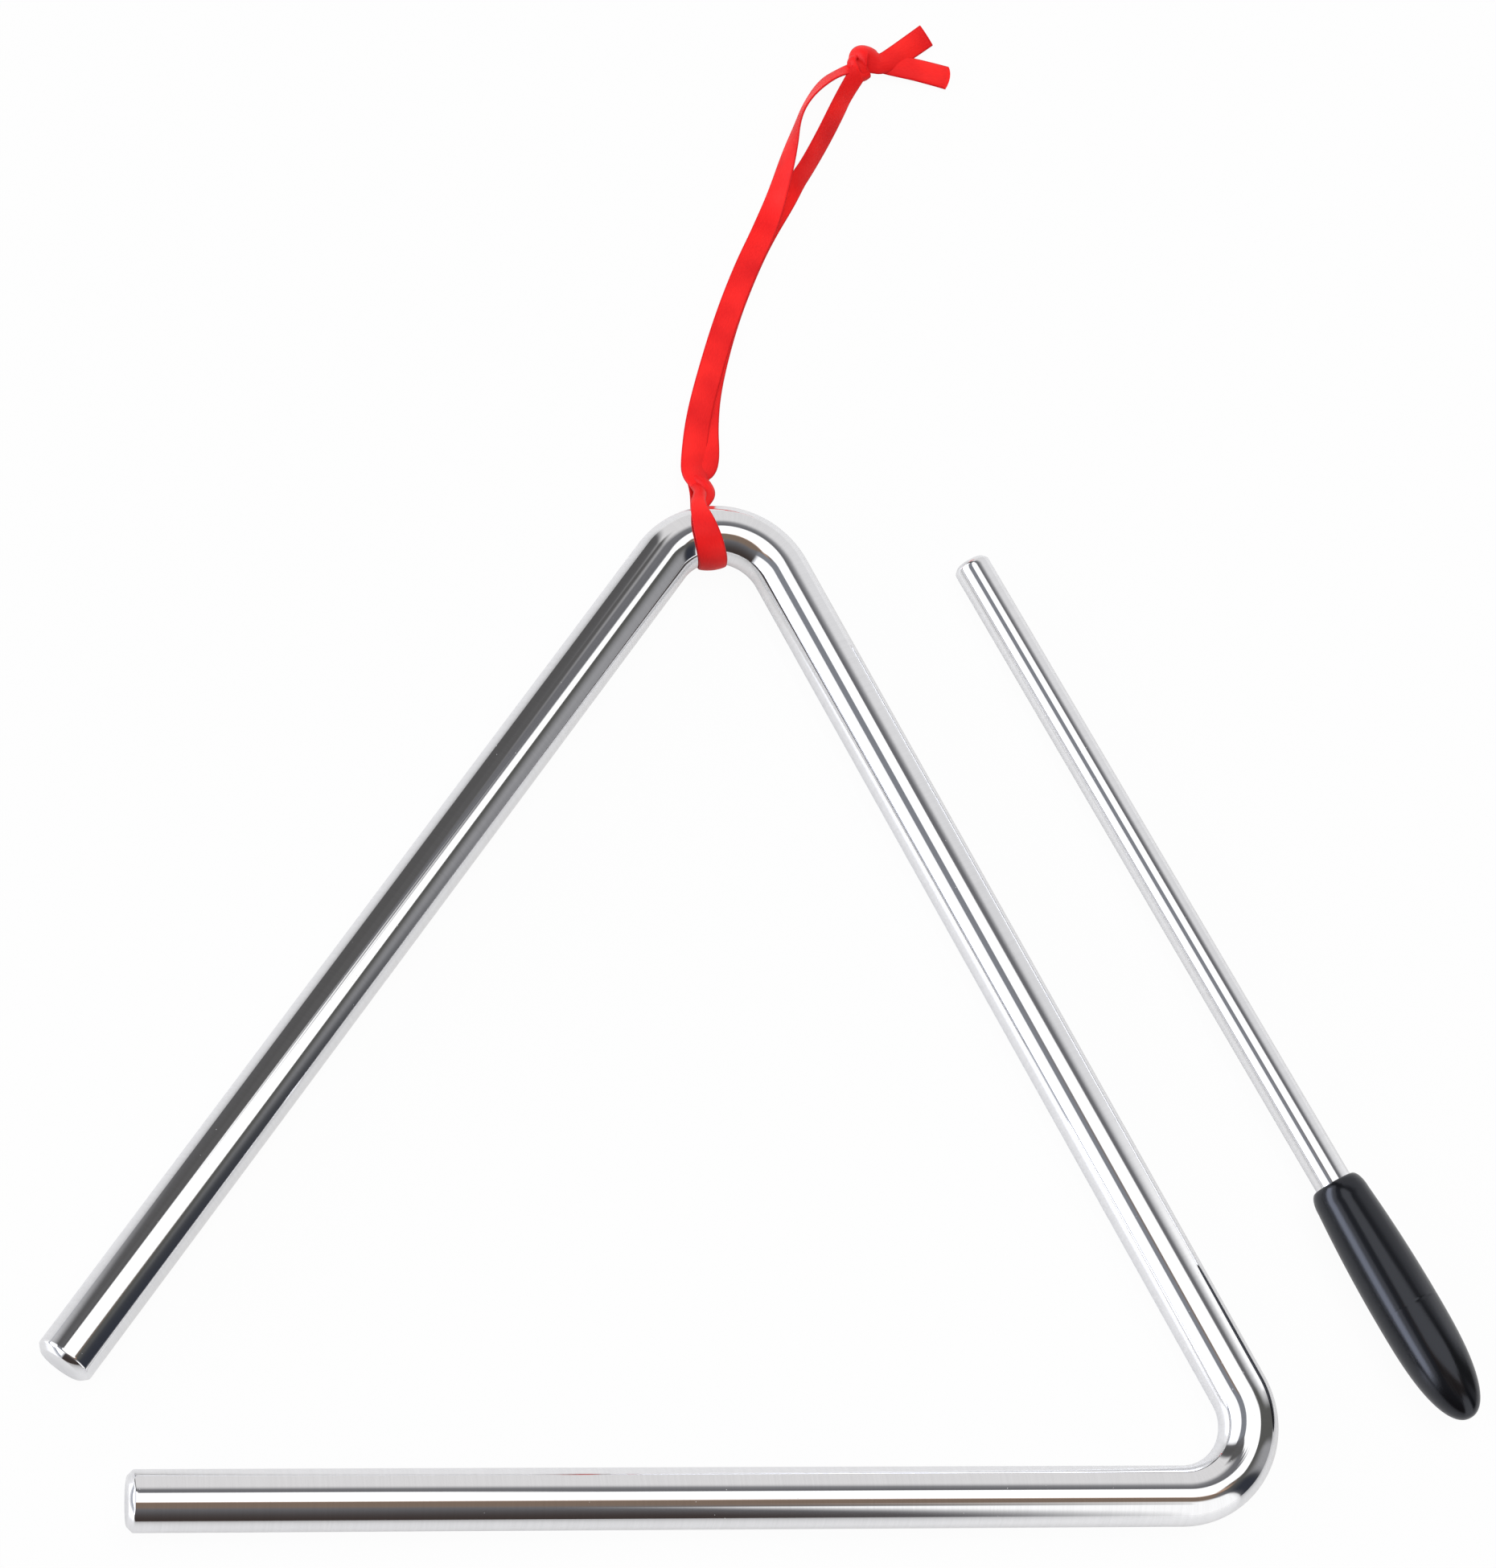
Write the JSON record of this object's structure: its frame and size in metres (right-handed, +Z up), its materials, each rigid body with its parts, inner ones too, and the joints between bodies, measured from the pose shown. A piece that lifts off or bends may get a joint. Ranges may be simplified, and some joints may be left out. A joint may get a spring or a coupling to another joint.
{
  "type": "triangle instrument",
  "caption": "Open triangle of bent chromed bar with a red satin hanging ribbon tied at its apex and a separate chromed beater with a black handle.",
  "frame": {"origin": "on the table, under the centre of the box round the bar and the beater", "axes": "+Z up from the table on which everything lies, +X along the base limb towards the closed corner, +Y towards the apex and its ribbon"},
  "size_m": [0.192, 0.2212, 0.0094],
  "materials": {
    "bar_chrome": "polished plating over steel, with fine drawing marks",
    "ribbon_satin": "woven satin with a soft sheen",
    "rod_chrome": "polished plating over steel",
    "handle_black": "satin gloss black"
  },
  "bodies": {
    "triangle": {"triangle_bar": "bar_chrome"},
    "ribbon": {"ribbon_bar_loop": "ribbon_satin", "ribbon_hitch": "ribbon_satin", "ribbon_strand_left": "ribbon_satin", "ribbon_strand_right": "ribbon_satin", "ribbon_end_knot": "ribbon_satin", "ribbon_tail_upper": "ribbon_satin", "ribbon_tail_lower": "ribbon_satin"},
    "beater": {"beater_rod": "rod_chrome", "beater_handle": "handle_black"}
  },
  "joints": [
    {"name": "ribbon_swing", "type": "hinge", "parent": "triangle", "child": "ribbon", "pos_m": [-0.00463, 0.06688, 0.0047], "axis": [0.9903, 0.1392, 0.0007], "range_deg": [0, 165]},
    {"name": "beater_lift", "type": "slide", "parent": "triangle", "child": "beater", "axis": [0, 0, 1], "range_m": [0, 0.15]}
  ]
}
